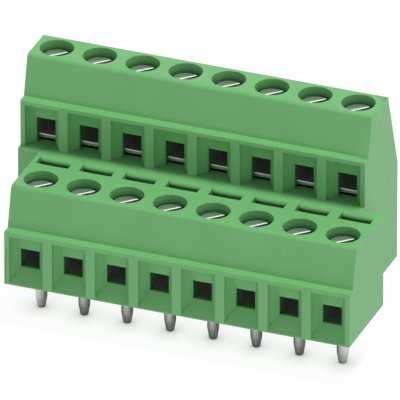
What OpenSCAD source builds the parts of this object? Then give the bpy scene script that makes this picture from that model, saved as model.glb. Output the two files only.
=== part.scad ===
// Two-level terminal block for printed circuit boards, in one moulded housing.
// A low front row and a tall rear row of screw clamps take one wire each.
// The rear row stands half a pitch to the left of the front row.
// X runs along the rows, Y from the wire side to the back and Z up from the board.
// The origin is the middle of the underside.

/* [Rows] */
// Wire positions in each level
positions = 8; // [2:1:8]
// Distance between neighbouring positions
pitch = 3.81; // [3.6:0.01:5.08]
// Share of the pitch by which the upper row stands to the left
stagger = 0.5; // [0:0.05:0.5]
// Height of the lower top face above the foot of an upper position
sill_h = 0.75; // [0.4:0.05:1.1]
// Depth of the step between the lower block and the upper front face
step_d = 0.58; // [0.3:0.02:1.2]

/* [Front] */
// Height of the upright front face of a level
face_h = 4.95; // [4.4:0.05:5.6]
// Depth of the ledge on top of the upright face
ledge_d = 0.8; // [0.4:0.05:0.9]
// Run of the leaning face above the ledge
lean_d = 0.85; // [0.5:0.05:1]
// Radius of the edges between the leaning faces and the top
edge_r = 0.35; // [0.1:0.05:0.45]

/* [Back] */
// Distance from the upper screw axis to the rear edge of the top, before rounding
top_back = 1.9; // [1.6:0.05:2.4]
// Run of the leaning rear face
rear_lean_d = 2.3; // [1:0.1:3]
// Height of the upright rear wall
rear_h = 8.95; // [8:0.05:12]
// Wall between the probe pockets and the back of the lower block
back_wall = 0.93; // [0.6:0.01:1.5]

/* [Wire entry] */
// Web between two neighbouring funnel mouths
mouth_web = 0.84; // [0.6:0.02:1]
// Bar of the front face left above a mouth
brow_h = 0.45; // [0.3:0.05:0.8]
// Height of the lip left below a lower mouth
lip_h = 0.1; // [0.05:0.05:0.4]
// Depth of the straight part of a mouth's cheeks
cheek_d = 0.35; // [0.1:0.05:0.7]
// Depth of the flat part of a mouth's roof
roof_d = 0.75; // [0.2:0.05:0.9]
// Depth at which the funnel narrows to the wire hole
funnel_d = 1.05; // [1:0.05:1.4]
// Width of the wire hole
entry_w = 1.66; // [1.3:0.02:1.8]
// Height of a lower wire hole
entry_h = 1.64; // [1.3:0.02:1.8]
// Height of a lower wire hole's floor above its position's foot; an upper hole reaches down to the sill
entry_z = 1.34; // [1.2:0.02:1.6]
// Length of the wire hole behind the funnel
throat_l = 0.55; // [0.3:0.05:1]

/* [Clamp cage] */
// Wall between the shafts of two neighbouring cages
cell_wall = 0.9; // [0.7:0.05:1.1]
// Depth of a cage
cage_d = 3.05; // [2.9:0.05:3.4]
// Distance from a cage's front to its screw
axis_d = 1.8; // [1.6:0.05:1.85]
// Thickness of a cage's sheet
cage_t = 0.4; // [0.3:0.05:0.5]
// Height of the threaded block at the top of a cage
boss_h = 1.2; // [0.8:0.05:1.4]
// Bevel along a cage's long corners
cage_bevel = 0.25; // [0.1:0.05:0.35]
// Gap between a cage and the sides of its shaft
cage_gap = 0.1; // [0.06:0.02:0.16]
// Room in front of a cage
cage_front_gap = 0.1; // [0.05:0.05:0.4]
// Room left for a thin wire when a cage is pulled right up
grip_gap = 0.3; // [0.1:0.02:0.5]

/* [Screw] */
// Diameter of the bore that a screw head turns in
bore_d = 2.86; // [2.7:0.02:3]
// Gap around a screw head
head_gap = 0.18; // [0.05:0.01:0.2]
// Height of a screw head
head_h = 0.9; // [0.7:0.05:1.2]
// Depth of a screw head below the top face
head_sink = 0.75; // [0.3:0.05:1.2]
// Bevel on a screw head's rim
head_bevel = 0.14; // [0.05:0.01:0.25]
// Width of the driver slot
slot_w = 0.5; // [0.4:0.05:0.7]
// Depth of the driver slot
slot_depth = 0.5; // [0.3:0.05:0.6]
// Direction of the driver slot
slot_turn = 45; // [0:5:180]
// Diameter of the threaded hole in a cage
thread_d = 1.8; // [1.5:0.05:1.85]
// Running gap around a screw's shank
thread_gap = 0.05; // [0.03:0.01:0.08]
// Thickness of the collar below a screw head
collar_h = 0.3; // [0.2:0.05:0.6]

/* [Contact] */
// Thickness of the bar that a wire is pressed against
bar_t = 0.5; // [0.4:0.05:0.7]
// Gap between the bar and the sides of a cage
bar_gap = 0.1; // [0.06:0.02:0.2]
// Thickness of the leg behind a cage
leg_t = 0.4; // [0.3:0.05:0.6]
// Width of the leg
leg_w = 2; // [1.4:0.1:2.4]
// Gap in front of the leg
leg_gap = 0.15; // [0.1:0.05:0.3]
// Thickness of the base plate that closes a shaft
base_t = 0.45; // [0.3:0.05:0.5]
// Diameter of a solder pin
pin_d = 1; // [0.8:0.05:1.2]
// Length of a solder pin below the housing
pin_l = 3.5; // [2.5:0.1:5]
// Length of a pin's tapered end
pin_taper = 1; // [0.6:0.1:1.6]
// Diameter of a pin's tip
tip_d = 0.7; // [0.3:0.05:0.8]
// Diameter of the riveted head on a pin
rivet_d = 1.5; // [1.3:0.05:1.8]

/* [Probe pockets] */
// Web between two neighbouring pockets
pocket_web = 0.96; // [0.6:0.02:1.4]
// Depth of a pocket from front to back
pocket_d = 1.02; // [0.8:0.02:1.6]
// Radius of a pocket's rear edge
pocket_round = 0.4; // [0.1:0.05:0.5]
// Wall between a cage shaft and the pocket behind it
pocket_wall = 0.55; // [0.4:0.05:1]
// Depth of a pocket below the top face
pocket_h = 4; // [2:0.25:6]

/* [Hidden] */
$fn = 48;
// Clearances: screw tip above bar, cage stop on bar, end of travel, wire below bar,
// and cage floor below the wire hole
tip_gap = 0.05;
stop_gap = 0.15;
end_gap = 0.1;
wire_gap = 0.02;
floor_drop = 0.14;
// How far one cut runs into the next, and how far a cut runs out of the housing
eps = 0.05;
overrun = 1;
// Steps of a rounded edge
arc_steps = 5;
// Height of a rivet head, lead of a screw's tip and rounding of a pin's tip
rivet_h = 0.2;
shank_lead = 0.2;
tip_round = 0.1;

// Heights above the foot of a position, from the wire hole up to the top face
cage_floor = entry_z - floor_drop;
bar_z = entry_z + entry_h + wire_gap;
bar_top = bar_z + bar_t;
cage_roof = bar_top + stop_gap;
cage_top = cage_roof + boss_h;
travel = bar_z - cage_floor - grip_gap;
shaft_top = cage_top + travel + end_gap;
bore_floor = shaft_top + collar_h;
head_z = bore_floor + tip_gap;
head_top = head_z + head_h;
top_h = head_top + head_sink;
mouth_top = face_h - brow_h;
level_rise = top_h - sill_h;

// Depths behind the front face of a position
shaft_front = funnel_d + throat_l;
cage_front = shaft_front + cage_front_gap;
screw_y = cage_front + axis_d;
cage_back = cage_front + cage_d;
leg_front = cage_back + leg_gap;
leg_back = leg_front + leg_t;
shaft_back = leg_back + end_gap;
pocket_front = shaft_back + pocket_wall;
pocket_back = pocket_front + pocket_d;
lower_d = pocket_back + back_wall;
level_d = lower_d + step_d;
total_d = level_d + screw_y + top_back + rear_lean_d;

// Widths across a position
mouth_w = pitch - mouth_web;
shaft_w = pitch - cell_wall;
cage_w = shaft_w - 2 * cage_gap;
cage_in = cage_w - 2 * cage_t;
bar_w = cage_in - 2 * bar_gap;
shank_d = thread_d - 2 * thread_gap;
head_d = bore_d - 2 * head_gap;
collar_d = thread_d + 2 * cage_gap;

row_l = positions * pitch;
left = -(positions + stagger) * pitch / 2;
lower_left = left + stagger * pitch;
front = -total_d / 2;
lean = atan2(lean_d, top_h - face_h);
rear_lean = atan2(rear_lean_d, level_rise + top_h - rear_h);

// Places a child at a lower position: its foot, on the front face, midway between its webs
module at_lower(i) {
    translate([lower_left + (i - 0.5) * pitch, front, 0])
        children();
}

// Places a child at an upper position
module at_upper(i) {
    translate([left + (i - 0.5) * pitch, front + level_d, level_rise])
        children();
}

// Draws a side view, Y across and Z up, out along X
module along_x(start, length) {
    translate([start, 0, 0])
        rotate([90, 0, 90])
            linear_extrude(length)
                children();
}

// Rounded edge between the top and a face that starts at [y, z] and leans in by tilt.
// side is 1 for a front face, drawn from the face to the top, and -1 for a rear face, drawn from the top.
function top_edge(y, z, top, tilt, side) = [for (i = [0 : arc_steps])
    let (step = side > 0 ? i : arc_steps - i)
    let (turn = tilt + (90 - tilt) * step / arc_steps)
    [
        y + side * ((top - edge_r - z) * tan(tilt) + edge_r / cos(tilt) - edge_r * cos(turn)),
        top - edge_r + edge_r * sin(turn)
    ]
];

// Front outline of a level above its upright face: ledge, leaning face and rounded top edge
function front_line(y, z) = concat(
    [[y, z + face_h]],
    [[y + ledge_d, z + face_h]],
    top_edge(y + ledge_d, z + face_h, z + top_h, lean, 1)
);

// Side view of the low front block
module lower_side() {
    polygon(concat(
        [[0, 0]],
        front_line(0, 0),
        [[lower_d, top_h], [lower_d, 0]]
    ));
}

// Side view of the tall rear block, with its step, its own front and the leaning back
module upper_side() {
    polygon(concat(
        [[lower_d, 0], [lower_d, top_h], [level_d, top_h]],
        front_line(level_d, level_rise),
        top_edge(total_d, rear_h, level_rise + top_h, rear_lean, -1),
        [[total_d, rear_h], [total_d, 0]]
    ));
}

// Floor of a funnel in side view: a lower one falls from the wire hole to the lip,
// an upper one is flat at the sill
function funnel_floor(upper) = upper
    ? [[-overrun, sill_h], [funnel_d, sill_h]]
    : [[-overrun, lip_h], [0, lip_h], [funnel_d, entry_z]];

// Funnel in front of a wire hole
module funnel(upper) {
    intersection() {
        linear_extrude(mouth_top)
            polygon([
                [-mouth_w / 2, -overrun],
                [mouth_w / 2, -overrun],
                [mouth_w / 2, cheek_d],
                [entry_w / 2, funnel_d],
                [-entry_w / 2, funnel_d],
                [-mouth_w / 2, cheek_d]
            ]);
        along_x(-mouth_w / 2, mouth_w)
            polygon(concat(
                funnel_floor(upper),
                [[funnel_d, entry_z + entry_h], [roof_d, mouth_top], [-overrun, mouth_top]]
            ));
    }
}

// Everything cut out of the housing at one position: funnel, wire hole, cage shaft and screw bore
module position_cut(upper) {
    hole_floor = upper ? sill_h : entry_z;
    foot = upper ? level_rise : 0;
    funnel(upper);
    translate([-entry_w / 2, funnel_d - eps, hole_floor])
        cube([entry_w, throat_l + 2 * eps, entry_z + entry_h - hole_floor]);
    translate([-shaft_w / 2, shaft_front, -foot - overrun])
        cube([shaft_w, shaft_back - shaft_front, foot + overrun + shaft_top]);
    translate([0, screw_y, shaft_top - eps])
        cylinder(d = collar_d, h = collar_h + 2 * eps);
    translate([0, screw_y, bore_floor])
        cylinder(d = bore_d, h = top_h - bore_floor + overrun);
}

// Rear edge of a pocket in side view, from its upright wall round to the top face
function pocket_edge() = [for (i = [0 : arc_steps])
    let (turn = 90 * i / arc_steps)
    [pocket_back + pocket_round * (1 - cos(turn)), top_h - pocket_round * (1 - sin(turn))]
];

// Blind pocket for a test probe in the lower top face
module pocket_cut() {
    width = pitch - pocket_web;
    along_x(-width / 2, width)
        polygon(concat(
            [[pocket_front, top_h + overrun], [pocket_front, top_h - pocket_h]],
            [[pocket_back, top_h - pocket_h]],
            pocket_edge(),
            [[pocket_back + pocket_round, top_h + overrun]]
        ));
}

// Moulded housing: both blocks in one piece
module housing() {
    color("#6bb06f")
        difference() {
            translate([0, front, 0])
                union() {
                    along_x(lower_left, row_l) lower_side();
                    along_x(left, row_l) upper_side();
                }
            for (i = [1 : positions]) {
                at_lower(i) position_cut(false);
                at_lower(i) pocket_cut();
                at_upper(i) position_cut(true);
            }
        }
}

// Clamp cage: a sleeve around the bar, open to front and back, with a threaded block on top
module cage() {
    color("#b4b5b0")
        difference() {
            translate([0, cage_back, 0])
                rotate([90, 0, 0])
                    linear_extrude(cage_d)
                        difference() {
                            polygon([
                                [-cage_w / 2 + cage_bevel, cage_floor - cage_t],
                                [cage_w / 2 - cage_bevel, cage_floor - cage_t],
                                [cage_w / 2, cage_floor - cage_t + cage_bevel],
                                [cage_w / 2, cage_top - cage_bevel],
                                [cage_w / 2 - cage_bevel, cage_top],
                                [-cage_w / 2 + cage_bevel, cage_top],
                                [-cage_w / 2, cage_top - cage_bevel],
                                [-cage_w / 2, cage_floor - cage_t + cage_bevel]
                            ]);
                            translate([-cage_in / 2, cage_floor])
                                square([cage_in, cage_roof - cage_floor]);
                        }
            translate([0, screw_y, cage_roof - eps])
                cylinder(d = thread_d, h = boss_h + 2 * eps);
        }
}

// Slotted clamp screw: its head turns in the bore and its tip stands on the bar
module screw() {
    color("#c9cac8")
        translate([0, screw_y, 0])
            difference() {
                rotate_extrude()
                    polygon([
                        [0, bar_top + tip_gap],
                        [shank_d / 2 - shank_lead, bar_top + tip_gap],
                        [shank_d / 2, bar_top + tip_gap + shank_lead],
                        [shank_d / 2, head_z],
                        [head_d / 2, head_z],
                        [head_d / 2, head_top - head_bevel],
                        [head_d / 2 - head_bevel, head_top],
                        [0, head_top]
                    ]);
                translate([0, 0, head_top - slot_depth])
                    rotate([0, 0, slot_turn])
                        translate([-bore_d, -slot_w / 2, 0])
                            cube([2 * bore_d, slot_w, slot_depth + overrun]);
            }
}

// Contact: bar through the cage, leg behind it, base plate in the shaft's mouth and a riveted round pin.
// foot is the height of the position above the board.
module contact(foot) {
    color("#c4c4bd") {
        translate([-bar_w / 2, cage_front - cage_front_gap / 2, bar_z])
            cube([bar_w, leg_back - cage_front + cage_front_gap / 2, bar_t]);
        translate([-leg_w / 2, leg_front, -foot])
            cube([leg_w, leg_t, foot + bar_top]);
        translate([-shaft_w / 2, shaft_front, -foot])
            cube([shaft_w, leg_back - shaft_front, base_t]);
        translate([0, screw_y, -foot])
            rotate_extrude()
                polygon([
                    [0, base_t + rivet_h],
                    [rivet_d / 2, base_t + rivet_h],
                    [rivet_d / 2, base_t - eps],
                    [pin_d / 2, base_t - eps],
                    [pin_d / 2, pin_taper - pin_l],
                    [tip_d / 2, tip_round - pin_l],
                    [tip_d / 2 - tip_round / 2, -pin_l],
                    [0, -pin_l]
                ]);
    }
}

housing();
for (i = [1 : positions]) {
    at_lower(i) contact(0);
    at_upper(i) contact(level_rise);
    at_lower(i) cage();
    at_upper(i) cage();
    at_lower(i) screw();
    at_upper(i) screw();
}
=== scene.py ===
import itertools
import math

import bmesh
import bpy
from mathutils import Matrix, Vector


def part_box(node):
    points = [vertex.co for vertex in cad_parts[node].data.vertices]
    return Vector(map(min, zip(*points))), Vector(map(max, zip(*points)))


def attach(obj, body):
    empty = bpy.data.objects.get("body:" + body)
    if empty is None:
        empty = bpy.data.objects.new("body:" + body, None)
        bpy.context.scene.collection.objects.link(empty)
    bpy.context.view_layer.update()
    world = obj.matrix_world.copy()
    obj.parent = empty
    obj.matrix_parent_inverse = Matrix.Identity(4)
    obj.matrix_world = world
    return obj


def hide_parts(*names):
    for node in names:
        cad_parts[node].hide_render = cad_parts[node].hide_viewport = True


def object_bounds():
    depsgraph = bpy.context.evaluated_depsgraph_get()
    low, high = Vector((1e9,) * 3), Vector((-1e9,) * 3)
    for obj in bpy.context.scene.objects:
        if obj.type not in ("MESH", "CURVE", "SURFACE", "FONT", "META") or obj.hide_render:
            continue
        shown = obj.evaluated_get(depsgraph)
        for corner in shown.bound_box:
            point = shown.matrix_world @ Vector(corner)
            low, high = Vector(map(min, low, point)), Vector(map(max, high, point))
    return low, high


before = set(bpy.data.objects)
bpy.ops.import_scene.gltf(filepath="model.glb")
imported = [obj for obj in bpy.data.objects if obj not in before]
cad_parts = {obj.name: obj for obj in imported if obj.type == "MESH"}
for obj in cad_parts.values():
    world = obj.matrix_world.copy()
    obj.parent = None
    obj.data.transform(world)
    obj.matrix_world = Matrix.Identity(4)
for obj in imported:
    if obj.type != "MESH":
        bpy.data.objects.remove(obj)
solid_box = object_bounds()


# Housing
# Both levels are one injection moulding in green polyamide, with funnels, shafts and screw bores cored out.
# The tool leaves the outer edges a little round and the faces with a fine spark-eroded grain.

mm = 0.001
scene = bpy.context.scene
poles = 8
half_pitch = 3.81 / 2 * mm
front = solid_box[0].y
ledge_fronts = [(front, 4.95 * mm), (front + 8.48 * mm, 12.65 * mm)]
on_line = 0.005 * mm
lip_height = 0.15 * mm
lip_radius = 0.025 * mm
ledge_radius = 0.14 * mm
edge_radius = 0.05 * mm


def rounded_copy(node, name, radius, splits, other_radius=None):
    """A new piece with a solid's exact form, its outer edges rounded and its inner corners left sharp.

    splits are the places along X where flat faces are divided, through the middle of each hole, so that
    no face runs right round one. other_radius gives the radius of an edge that differs, or None.
    Edges that meet in a thin wedge, as beside the pockets' round lips, stay sharp.
    """
    same_point = 0.0005 * mm
    same_plane = math.radians(0.5)
    least_fold = math.radians(28)
    thin_wedge = math.radians(15)
    smooth_fold = math.radians(32)
    rounding_steps = 4

    mesh = bpy.data.meshes.new(name)
    form = bmesh.new()
    form.from_mesh(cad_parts[node].data)
    bmesh.ops.remove_doubles(form, verts=form.verts, dist=same_point)
    for x in splits:
        whole = [*form.verts, *form.edges, *form.faces]
        cut = bmesh.ops.bisect_plane(
            form, geom=whole, dist=same_point, plane_co=(x, 0, 0), plane_no=(1, 0, 0)
        )
        for item in cut["geom_cut"]:
            if isinstance(item, bmesh.types.BMEdge):
                item.seam = True
    bmesh.ops.dissolve_limit(
        form, angle_limit=same_plane, verts=form.verts, edges=form.edges, delimit={"SEAM"}
    )

    weight = form.edges.layers.float.new("bevel_weight_edge")
    widest = radius
    for edge in form.edges:
        if edge.calc_face_angle_signed(0.0) > least_fold:
            edge[weight] = (other_radius and other_radius(edge)) or radius
            widest = max(widest, edge[weight])
    for corner in form.verts:
        for one, other in itertools.combinations(corner.link_edges, 2):
            ways = [edge.other_vert(corner).co - corner.co for edge in (one, other)]
            if ways[0].angle(ways[1], math.pi) < thin_wedge:
                one[weight] = other[weight] = 0.0
    for edge in form.edges:
        edge[weight] /= widest
    form.to_mesh(mesh)
    form.free()

    piece = bpy.data.objects.new(name, mesh)
    scene.collection.objects.link(piece)
    bevel = piece.modifiers.new("edges", "BEVEL")
    bevel.limit_method = "WEIGHT"
    bevel.width = widest
    bevel.segments = rounding_steps
    bevel.use_clamp_overlap = False
    piece.data = bpy.data.meshes.new_from_object(piece.evaluated_get(bpy.context.evaluated_depsgraph_get()))
    piece.modifiers.remove(bevel)
    bpy.data.meshes.remove(mesh)
    piece.data.name = name
    piece.data.shade_smooth()
    piece.data.set_sharp_from_angle(angle=smooth_fold)
    flats = piece.modifiers.new("flats", "WEIGHTED_NORMAL")
    flats.keep_sharp = True
    return piece


def moulding_edge(edge):
    """A small radius on the thin lips below the funnels and a large one along the front of both ledges."""
    ends = [v.co for v in edge.verts]
    if max(end.z for end in ends) < lip_height:
        return lip_radius
    for y, z in ledge_fronts:
        if all(abs(end.y - y) < on_line and abs(end.z - z) < on_line for end in ends):
            return ledge_radius
    return None


def nodes_of(owner, shader_name):
    """The shader of a new material or world, and ways to feed a socket, add a node and spread a value."""
    owner.use_nodes = True
    tree = owner.node_tree

    def feed(socket, value):
        """Another node's output is joined to the socket, and a number or colour is set on it."""
        if isinstance(value, bpy.types.NodeSocket):
            tree.links.new(value, socket)
        else:
            socket.default_value = value

    def add(kind, **values):
        """A node with what its sockets are fed, and its other settings."""
        node = tree.nodes.new(kind)
        for key, value in values.items():
            if key in node.inputs:
                feed(node.inputs[key], value)
            else:
                setattr(node, key, value)
        return node

    def spread(source, start, end, at_start, at_end):
        """A value that goes evenly from at_start to at_end while the source goes from start to end."""
        node = add("ShaderNodeMapRange", Value=source)
        feed(node.inputs["From Min"], start)
        feed(node.inputs["From Max"], end)
        feed(node.inputs["To Min"], at_start)
        feed(node.inputs["To Max"], at_end)
        return node.outputs["Result"]

    return tree.nodes[shader_name], feed, add, spread


def two_tones(add, noise, first, second):
    """A colour that goes from the first tone to the second over the middle of a noise's range."""
    ramp = add("ShaderNodeValToRGB", Fac=noise)
    for stop, place, tone in zip(ramp.color_ramp.elements, (0.3, 0.7), (first, second)):
        stop.position = place
        stop.color = (*tone, 1)
    return ramp.outputs["Color"]


def moulded_green():
    """Green polyamide: fine eroded grain, faint cloudiness from the melt, half-matt, and a painted shade that
    darkens it in hollows.
    """
    melt_tones = (0.139, 0.402, 0.143), (0.153, 0.426, 0.157)
    painted_hollow_shade = (0.012, 0.11, 0.012, 1)
    material = bpy.data.materials.new("moulded_green")
    shader, feed, add, spread = nodes_of(material, "Principled BSDF")
    place = add("ShaderNodeTexCoord").outputs["Object"]
    cloud = add("ShaderNodeTexNoise", Vector=place, Scale=260.0, Detail=3.0, Roughness=0.55)
    melt = two_tones(add, cloud.outputs["Fac"], *melt_tones)
    # Painted shade: the green goes darker in hollows, by how little open sky reaches them.
    open_sky = add("ShaderNodeAmbientOcclusion", Distance=3.0 * mm, samples=12)
    outside_painted_shade = spread(open_sky.outputs["AO"], 0.15, 0.44, 0.0, 1.0)
    green = add("ShaderNodeMixRGB", Fac=outside_painted_shade, Color1=painted_hollow_shade, Color2=melt)
    feed(shader.inputs["Base Color"], green.outputs["Color"])
    grain = add("ShaderNodeTexNoise", Vector=place, Scale=11000.0, Detail=2.0, Roughness=0.6).outputs["Fac"]
    feed(shader.inputs["Roughness"], spread(grain, 0.0, 1.0, 0.42, 0.56))
    relief = add("ShaderNodeBump", Height=grain, Strength=0.35, Distance=0.006 * mm)
    feed(shader.inputs["Normal"], relief.outputs["Normal"])
    shader.inputs["Specular IOR Level"].default_value = 0.45
    return material


hole_middles = [solid_box[0].x + half_pitch * i for i in range(1, 2 * poles + 1)]
housing = rounded_copy("housing", "housing_moulding", edge_radius, hole_middles, moulding_edge)
housing.data.materials.append(moulded_green())
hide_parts("housing")
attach(housing, "block")


# Clamp cages
# Each is a sleeve folded from nickel-plated steel sheet, with a threaded block on top, sliding in a shaft.
# Its front and rear rims are tumbled nearly round and its faces carry fine roll marks.

positions = [(level, number) for level in ("lower", "upper") for number in range(1, poles + 1)]
fold_radius = 0.02 * mm
rim_radius = 0.09 * mm
in_plane = 0.001 * mm


def plated_metal(name, colour, rough, metallic=1.0, shaded_range=(0.05, 0.30)):
    """Plated metal with a soft cloud in its shine and fine marks along one way.

    A dull plate is less metallic. The last argument is the range of open sky over which the colour goes from
    a painted shade grey in hollows to the plate's own colour.
    """
    marked_tone = [0.82 * c for c in colour]
    painted_shade_grey = (0.41, 0.43, 0.41, 1)
    along_z = (1.0, 1.0, 0.08)
    material = bpy.data.materials.new(name)
    shader, feed, add, spread = nodes_of(material, "Principled BSDF")
    place = add("ShaderNodeTexCoord").outputs["Object"]
    stretch = add("ShaderNodeMapping", Vector=place, Scale=along_z).outputs["Vector"]
    marks = add("ShaderNodeTexNoise", Vector=stretch, Scale=9000.0, Detail=3.0, Roughness=0.6).outputs["Fac"]
    plate = two_tones(add, marks, marked_tone, colour)
    # Painted shade: the plate's colour goes to a darker grey in hollows, by how little open sky reaches them.
    open_sky = add("ShaderNodeAmbientOcclusion", Distance=3.0 * mm, samples=8)
    outside_painted_shade = spread(open_sky.outputs["AO"], *shaded_range, 0.0, 1.0)
    plate_with_painted_shade = add("ShaderNodeMixRGB", Fac=outside_painted_shade, Color1=painted_shade_grey, Color2=plate)
    feed(shader.inputs["Base Color"], plate_with_painted_shade.outputs["Color"])
    feed(shader.inputs["Roughness"], spread(marks, 0.0, 1.0, rough - 0.06, rough + 0.08))
    relief = add("ShaderNodeBump", Height=marks, Strength=0.2, Distance=0.003 * mm)
    feed(shader.inputs["Normal"], relief.outputs["Normal"])
    shader.inputs["Metallic"].default_value = metallic
    return material


def rims_of(low, high):
    """A rule for rounded_copy: edges in the front or rear face of a cage with these corners are rims."""
    def rim(edge):
        ends = [v.co.y for v in edge.verts]
        on_front = max(ends) < low.y + in_plane
        on_rear = min(ends) > high.y - in_plane
        return rim_radius if on_front or on_rear else None

    return rim


# The nickel's colour has a green tint that paints the reflection of the green housing round it.
nickel = plated_metal("nickel_plate", (0.55, 0.66, 0.55), 0.32, 0.78)
for level, number in positions:
    node = f"{level}_cage_{number}"
    low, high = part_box(node)
    cage = rounded_copy(node, f"{node}_sleeve", fold_radius, [(low.x + high.x) / 2], rims_of(low, high))
    cage.data.materials.append(nickel)
    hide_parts(node)
    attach(cage, node)


# Contacts
# A tinned brass bar and leg with a riveted round solder pin, pushed into each shaft from below.
# The pin is drawn wire with a tapered end, and the plating is satin.

stamped_radius = 0.04 * mm
# The tin's colour has a green tint that paints the reflection of the green housing above it.
tin = plated_metal("tin_plate", (0.61, 0.65, 0.60), 0.30)
for level, number in positions:
    node = f"{level}_contact_{number}"
    low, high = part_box(node)
    contact = rounded_copy(node, f"{node}_strip", stamped_radius, [(low.x + high.x) / 2])
    contact.data.materials.append(tin)
    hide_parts(node)
    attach(contact, "block")


# Clamp screws
# Slotted screws turned from steel and zinc plated, dropped into their bores from above.
# A right-hand thread of 0.4 mm lead draws the cage up, and the slot's edges are broken wide.

def screw_form(length, head_radius):
    """One screw standing on its tip at the origin, with its thread and bevelled head but no slot yet."""
    head_height = 0.90 * mm
    head_bevel = 0.14 * mm
    bevel_start = 0.3 * head_bevel
    under_bevel = 0.04 * mm
    shank_radius = 0.85 * mm
    tip_radius = 0.65 * mm
    lead = 0.40 * mm
    thread_depth = 0.21 * mm
    flank = 1.3
    root_flat = 0.15
    neck = 0.25 * mm
    neck_straight = 0.6 * neck
    sides = 48
    rows_per_turn = 8
    head_level = length - head_height
    thread_end = head_level - neck
    core = shank_radius - thread_depth

    def thread_radius(angle, z):
        """The shank's radius at a place: flat crests and roots, running out towards the tip."""
        turn = (z / lead - angle / (2 * math.pi)) % 1.0
        rise = min(1.0, max(0.0, flank * abs(2.0 * turn - 1.0) - root_flat))
        return min(shank_radius - thread_depth * (1.0 - rise), tip_radius + z)

    form = bmesh.new()

    def ring(z, radius):
        """One row of points round the screw, for a fixed radius or one that depends on the place."""
        angles = [2 * math.pi * i / sides for i in range(sides)]
        radii = [radius(a, z) if callable(radius) else radius for a in angles]
        return [form.verts.new((r * math.cos(a), r * math.sin(a), z)) for a, r in zip(angles, radii)]

    rows = round(thread_end / lead * rows_per_turn)
    rings = [ring(thread_end * i / rows, thread_radius) for i in range(rows + 1)]
    rings += [
        ring(head_level - neck_straight, core),
        ring(head_level, core),
        ring(head_level, head_radius - under_bevel),
        ring(head_level + under_bevel, head_radius),
        ring(length - head_bevel, head_radius),
        ring(length - bevel_start, head_radius - bevel_start),
        ring(length, head_radius - head_bevel),
    ]
    for below, above in zip(rings, rings[1:]):
        for i in range(sides):
            j = (i + 1) % sides
            form.faces.new((below[i], below[j], above[j], above[i]))
    form.faces.new(list(reversed(rings[0])))
    form.faces.new(rings[-1])
    mesh = bpy.data.meshes.new("screw_blank")
    form.to_mesh(mesh)
    form.free()
    return mesh


def slot_cutter(length, head_radius):
    """The prism that cuts a screw's slot, wider at the top so that both edges are broken."""
    half_width = 0.25 * mm
    edge_break = 0.075 * mm
    wide = half_width + edge_break
    floor = length - 0.50 * mm
    bend = length - edge_break
    above = length + 0.30 * mm
    reach = 1.5 * head_radius
    profile = [
        (-half_width, floor), (half_width, floor), (half_width, bend), (wide, length),
        (wide, above), (-wide, above), (-wide, length), (-half_width, bend),
    ]
    form = bmesh.new()
    ends = [[form.verts.new((x, y, z)) for y, z in profile] for x in (-reach, reach)]
    form.faces.new(list(reversed(ends[0])))
    form.faces.new(ends[1])
    for i in range(len(profile)):
        j = (i + 1) % len(profile)
        form.faces.new((ends[0][i], ends[0][j], ends[1][j], ends[1][i]))
    bmesh.ops.recalc_face_normals(form, faces=form.faces)
    mesh = bpy.data.meshes.new("slot_cutter")
    form.to_mesh(mesh)
    form.free()
    return mesh


def slotted_screw(length, head_radius, slot_turn):
    """The screw's mesh with its slot cut at an angle to X and its head's edges marked for rounding."""
    least_fold = math.radians(28)
    smooth_fold = math.radians(40)
    above_underside = length - 0.80 * mm
    blank = bpy.data.objects.new("screw_blank", screw_form(length, head_radius))
    cutter = bpy.data.objects.new("slot_cutter", slot_cutter(length, head_radius))
    cutter.rotation_euler.z = slot_turn
    scene.collection.objects.link(blank)
    scene.collection.objects.link(cutter)
    cut = blank.modifiers.new("slot", "BOOLEAN")
    cut.object = cutter
    cut.solver = "EXACT"
    mesh = bpy.data.meshes.new_from_object(blank.evaluated_get(bpy.context.evaluated_depsgraph_get()))
    mesh.name = "slotted_screw"
    for helper in (blank, cutter):
        data = helper.data
        bpy.data.objects.remove(helper)
        bpy.data.meshes.remove(data)
    form = bmesh.new()
    form.from_mesh(mesh)
    weight = form.edges.layers.float.new("bevel_weight_edge")
    for edge in form.edges:
        on_head = min(v.co.z for v in edge.verts) > above_underside
        if on_head and len(edge.link_faces) == 2 and edge.calc_face_angle() > least_fold:
            edge[weight] = 1.0
    form.to_mesh(mesh)
    form.free()
    mesh.shade_smooth()
    mesh.set_sharp_from_angle(angle=smooth_fold)
    return mesh


slot_turn = math.radians(45)
turned_radius = 0.02 * mm
# The zinc's colour has a green tint that paints the reflection of the green bores round the heads, and the
# range sets their painted shade.
zinc = plated_metal("zinc_plate", (0.78, 0.86, 0.77), 0.28, 0.86, (0.30, 0.52))
low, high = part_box("lower_screw_1")
screw_mesh = slotted_screw(high.z - low.z, (high.x - low.x) / 2, slot_turn)
screw_mesh.materials.append(zinc)
for level, number in positions:
    node = f"{level}_screw_{number}"
    low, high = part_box(node)
    screw = bpy.data.objects.new(f"{node}_turned", screw_mesh)
    screw.location = ((low.x + high.x) / 2, (low.y + high.y) / 2, low.z)
    scene.collection.objects.link(screw)
    bevel = screw.modifiers.new("edges", "BEVEL")
    bevel.limit_method = "WEIGHT"
    bevel.width = turned_radius
    bevel.segments = 2
    bevel.harden_normals = True
    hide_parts(node)
    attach(screw, node)


# Table and light
# The block stands on its pin tips on a plain white table, with low white screens in front and two soft lamps.
# The table glows white, with a faint wide shadow, a painted shadow round each pin, and a painted dark that
# only the metal reflects.

table_level = solid_box[0].z
half_side = 2.0
corners = [
    (-half_side, -half_side), (half_side, -half_side), (half_side, half_side), (-half_side, half_side),
]
table_mesh = bpy.data.meshes.new("table")
table_mesh.from_pydata([(x, y, table_level) for x, y in corners], [], [(0, 1, 2, 3)])
table = bpy.data.objects.new("table", table_mesh)
scene.collection.objects.link(table)

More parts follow.
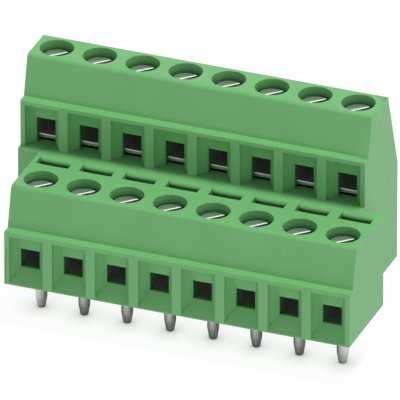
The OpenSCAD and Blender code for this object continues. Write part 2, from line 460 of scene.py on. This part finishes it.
white = bpy.data.materials.new("white_table")
shader, feed, add, spread = nodes_of(white, "Principled BSDF")
shader.inputs["Roughness"].default_value = 0.9
shader.inputs["Specular IOR Level"].default_value = 0.0
shader.inputs["Emission Color"].default_value = (1, 1, 1, 1)
shader.inputs["Base Color"].default_value = (0.13, 0.13, 0.13, 1)
# Painted shadows: the table's glow is lowered round each pin, and, for reflections only, under the block.
round_pins = add("ShaderNodeAmbientOcclusion", Distance=2.2 * mm, samples=8)
pin_shade = spread(round_pins.outputs["AO"], 0.45, 1.0, 0.42, 0.925)
under_block = add("ShaderNodeAmbientOcclusion", Distance=6.0 * mm, samples=8)
block_shade = spread(under_block.outputs["AO"], 0.30, 0.68, 0.0, 1.0)
in_metal = add("ShaderNodeLightPath").outputs["Is Glossy Ray"]
feed(shader.inputs["Emission Strength"], spread(in_metal, 0.0, 1.0, pin_shade, block_shade))
table_mesh.materials.append(white)

world = bpy.data.worlds.new("sky")
scene.world = world
sky, feed, add, spread = nodes_of(world, "Background")


def combine(operation, one, other):
    """The greater of two values, or their product."""
    node = add("ShaderNodeMath", operation=operation)
    feed(node.inputs[0], one)
    feed(node.inputs[1], other)
    return node.outputs["Value"]


path = add("ShaderNodeLightPath")
seen = path.outputs["Is Camera Ray"]
for kind in ("Is Glossy Ray", "Is Transmission Ray"):
    seen = combine("MAXIMUM", seen, path.outputs[kind])
compass = add("ShaderNodeTexCoord")
toward = add("ShaderNodeSeparateXYZ", Vector=compass.outputs["Generated"])
low_wall = spread(toward.outputs["Z"], 0.40, 0.70, 1.0, 0.0)
front_wall = spread(toward.outputs["Y"], -0.1, 0.6, 1.0, 0.0)
room = spread(combine("MULTIPLY", low_wall, front_wall), 0.0, 1.0, 0.21, 0.79)
backdrop = spread(toward.outputs["Z"], 0.82, 0.98, 1.0, 0.8)
feed(sky.inputs["Strength"], spread(seen, 0.0, 1.0, room, backdrop))
sky.inputs["Color"].default_value = (1, 1, 1, 1)


def soft_lamp(name, energy, place, mirrored):
    """A round soft lamp aimed at the block; mirrored says whether it shows in reflections."""
    light = bpy.data.lights.new(name, "AREA")
    light.shape = "DISK"
    light.size = 0.10
    light.energy = energy
    lamp = bpy.data.objects.new(name, light)
    scene.collection.objects.link(lamp)
    lamp.location = place
    block_middle = Vector((0, 0, 0.008))
    lamp.rotation_euler = (block_middle - lamp.location).to_track_quat("-Z", "Y").to_euler()
    lamp.visible_glossy = mirrored


soft_lamp("overhead", energy=1.28, place=(0.07, 0.040, 0.39), mirrored=False)
soft_lamp("upper_right", energy=0.034, place=(0.235, -0.034, 0.33), mirrored=True)


# Camera
# A long lens a little to the right of the front and above it, framed as the photograph is.
# Colours are shown as they are, with the standard view.

azimuth = math.radians(21.16)
elevation = math.radians(28.34)
distance = 1.55
pixels_per_mm = 12.117
picture = 400
aim = Vector((0.95, -0.09, 7.0)) * mm
aim_pixel = (211.35, 197.9)
into = Vector((
    -math.sin(azimuth) * math.cos(elevation), math.cos(azimuth) * math.cos(elevation), -math.sin(elevation)
))
across = Vector((math.cos(azimuth), math.sin(azimuth), 0))
upward = across.cross(into)
shift = across * (picture / 2 - aim_pixel[0]) - upward * (picture / 2 - aim_pixel[1])
lens = bpy.data.cameras.new("camera")
lens.sensor_width = 36
lens.lens = pixels_per_mm * lens.sensor_width / picture * distance / mm
lens.clip_end = 20
camera = bpy.data.objects.new("camera", lens)
scene.collection.objects.link(camera)
camera.location = aim + shift / pixels_per_mm * mm - into * distance
camera.rotation_euler = into.to_track_quat("-Z", "Y").to_euler()
scene.camera = camera
scene.view_settings.view_transform = "Standard"
